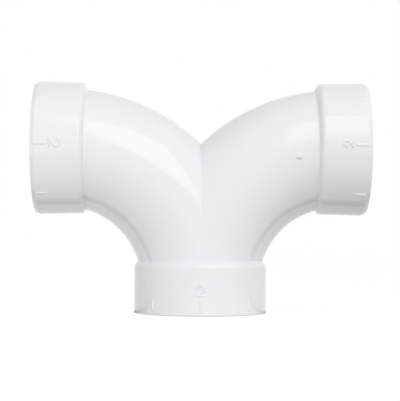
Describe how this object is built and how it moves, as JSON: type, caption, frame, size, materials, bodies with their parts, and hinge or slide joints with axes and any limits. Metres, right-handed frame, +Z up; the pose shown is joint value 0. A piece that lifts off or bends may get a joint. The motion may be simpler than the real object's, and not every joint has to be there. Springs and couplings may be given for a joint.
{
  "type": "three-way elbow pipe fitting",
  "caption": "Moulded plastic double elbow: opposed side sockets bend down through quarter turns and meet in a crotch over a bottom socket, joining pipe runs into one drop.",
  "frame": {"origin": "centre of the bottom socket's mouth, in the plane that its rim stands on", "axes": "+Z up the bottom leg's axis, +X along the run towards the right socket, -Y towards the side that the picture shows"},
  "size_m": [0.1714, 0.0702, 0.1204],
  "materials": {
    "white_plastic": "glossy moulded white"
  },
  "bodies": {
    "root": {"double_elbow": "white_plastic"}
  },
  "joints": []
}
